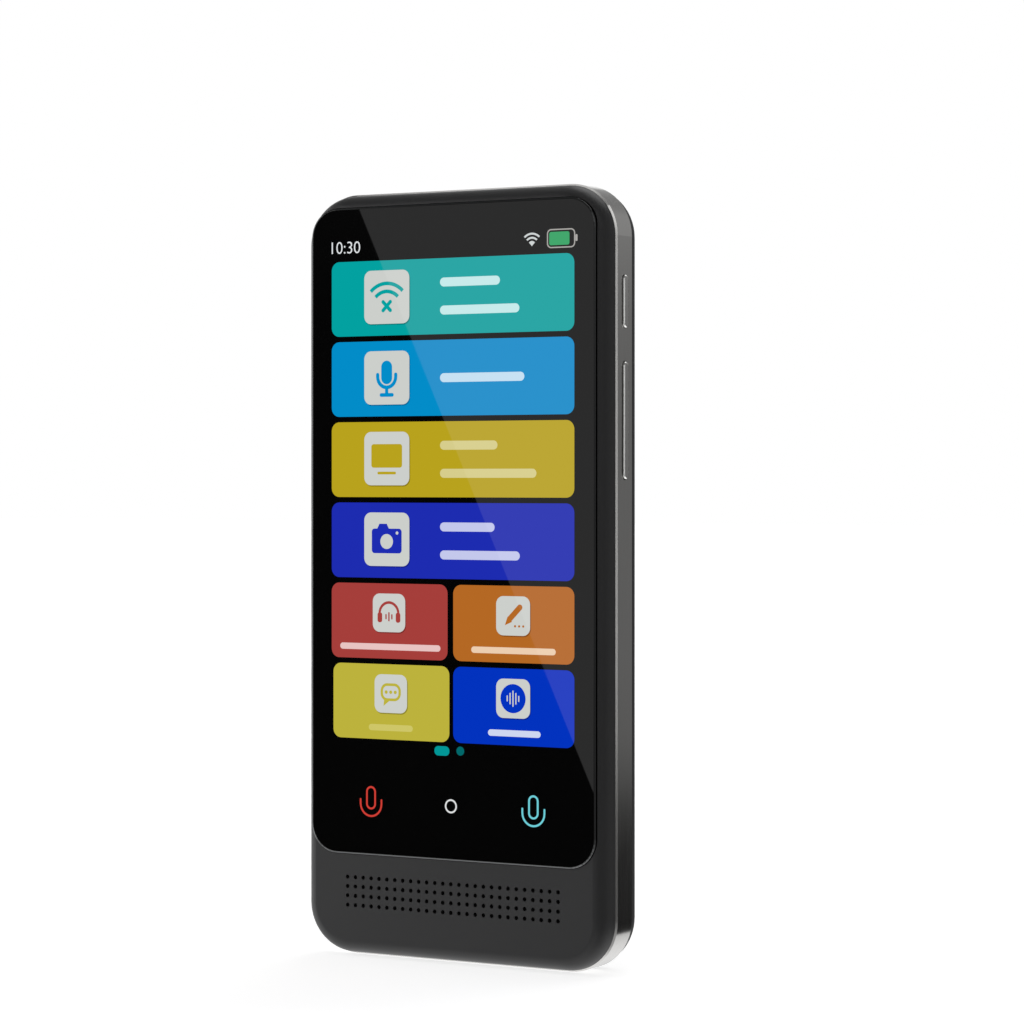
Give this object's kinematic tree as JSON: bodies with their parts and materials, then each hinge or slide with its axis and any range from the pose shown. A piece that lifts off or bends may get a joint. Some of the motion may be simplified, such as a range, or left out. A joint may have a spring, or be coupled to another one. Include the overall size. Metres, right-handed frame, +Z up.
{
  "type": "handheld translator",
  "caption": "Touch-screen handheld translator: metal side band, matte shells, front speaker grille, side keys and a rear camera window.",
  "frame": {"origin": "on the ground under the middle of the body, at the middle of the bottom edge", "axes": "+Z up along the long side, +X to the right of someone facing the screen, +Y from the screen towards the back"},
  "size_m": [0.0755, 0.0162, 0.1634],
  "materials": {
    "housing_plastic": "fine matte texture, dark grey",
    "cover_plastic": "fine matte texture, near black",
    "band_metal": "brushed, dark silver",
    "key_metal": "brushed, silver",
    "cover_glass": "gloss black cover glass",
    "lens_glass": "coated glass",
    "clear_adhesive": "clear film",
    "black_tape": "adhesive tape",
    "panel": "laminated display panel",
    "tray_plastic": "moulded white light guide and tray",
    "plate_metal": "rolled sheet, matte",
    "steel_sheet": "stamped steel",
    "foam": "closed-cell foam",
    "silicone": "moulded silicone",
    "board": "printed circuit board",
    "flex": "polyimide flat cable",
    "chip_plastic": "moulded package",
    "shield_steel": "tinned steel can",
    "brass": "turned brass",
    "battery_wrap": "foil pouch cell, grey",
    "screw_steel": "black zinc screw",
    "mesh": "fine woven mesh",
    "magnet": "plated magnet cup",
    "cone_film": "moulded film cone",
    "switch_plastic": "moulded switch body",
    "carrier_plastic": "moulded carrier",
    "copper_film": "copper antenna film"
  },
  "bodies": {
    "housing": {"front_housing": "housing_plastic", "mid_frame": "band_metal", "rear_cover": "cover_plastic", "display_glass": "cover_glass", "bezel_adhesive": "black_tape", "optical_adhesive": "clear_adhesive", "lcd_panel": "panel", "backlight_tray": "tray_plastic", "display_cushion": "foam", "display_flex": "flex", "mid_plate": "plate_metal", "board_standoffs": "brass", "main_board": "board", "processor_chip": "chip_plastic", "memory_chip": "chip_plastic", "processor_shield": "shield_steel", "radio_shield": "shield_steel", "board_connectors": "chip_plastic", "thermal_pad": "silicone", "antenna_carrier": "carrier_plastic", "wifi_antenna": "copper_film", "battery_cell": "battery_wrap", "battery_tape": "black_tape", "battery_foam": "foam", "battery_lead": "flex", "sub_board": "board", "link_flex": "flex", "usb_receptacle": "steel_sheet", "usb_tongue": "chip_plastic", "mic_bottom": "steel_sheet", "mic_bottom_boot": "silicone", "mic_top": "steel_sheet", "mic_top_boot": "silicone", "speaker_mesh": "mesh", "speaker_gasket": "foam", "speaker_box": "carrier_plastic", "speaker_cone": "cone_film", "speaker_magnet": "magnet", "speaker_contacts": "brass", "camera_window": "cover_glass", "window_adhesive": "black_tape", "camera_gasket": "foam", "camera_sensor_board": "board", "camera_holder": "chip_plastic", "camera_flex": "flex", "rocker_pin": "screw_steel", "key_bracket": "steel_sheet", "side_key_flex": "flex", "power_switch": "switch_plastic", "volume_switches": "switch_plastic", "housing_screws": "screw_steel", "bracket_screws": "screw_steel", "board_screws": "screw_steel"},
    "power_key": {"power_button": "key_metal"},
    "power_plunger": {"power_switch_plunger": "switch_plastic"},
    "volume_key": {"volume_rocker": "key_metal"},
    "volume_up_contact": {"volume_up_plunger": "switch_plastic"},
    "volume_down_contact": {"volume_down_plunger": "switch_plastic"},
    "focus_barrel": {"camera_lens_barrel": "chip_plastic", "camera_lens": "lens_glass"}
  },
  "joints": [
    {"name": "power_press", "type": "slide", "parent": "housing", "child": "power_key", "axis": [-1, 0, 0], "range_m": [0, 0.0003], "stiffness_N_per_m": 1500, "springref_m": -0.0006},
    {"name": "power_switch_travel", "type": "slide", "parent": "housing", "child": "power_plunger", "axis": [-1, 0, 0], "range_m": [0, 0.0003]},
    {"name": "volume_rock", "type": "hinge", "parent": "housing", "child": "volume_key", "pos_m": [0.0345, 0, 0.1143], "axis": [0, -1, 0], "range_deg": [-1.2, 1.2], "stiffness_Nm_per_rad": 0.15},
    {"name": "volume_up_travel", "type": "slide", "parent": "housing", "child": "volume_up_contact", "axis": [-1, 0, 0], "range_m": [-0.0002, 0.0002]},
    {"name": "volume_down_travel", "type": "slide", "parent": "housing", "child": "volume_down_contact", "axis": [-1, 0, 0], "range_m": [-0.0002, 0.0002]},
    {"name": "lens_focus", "type": "slide", "parent": "housing", "child": "focus_barrel", "axis": [0, 1, 0], "range_m": [0, 0.0003], "stiffness_N_per_m": 100, "springref_m": -0.0003}
  ],
  "couplings": [
    {"joint": "power_switch_travel", "follows": "power_press", "ratio": 1},
    {"joint": "volume_up_travel", "follows": "volume_rock", "m_per_rad": 0.009},
    {"joint": "volume_down_travel", "follows": "volume_rock", "m_per_rad": -0.009}
  ]
}
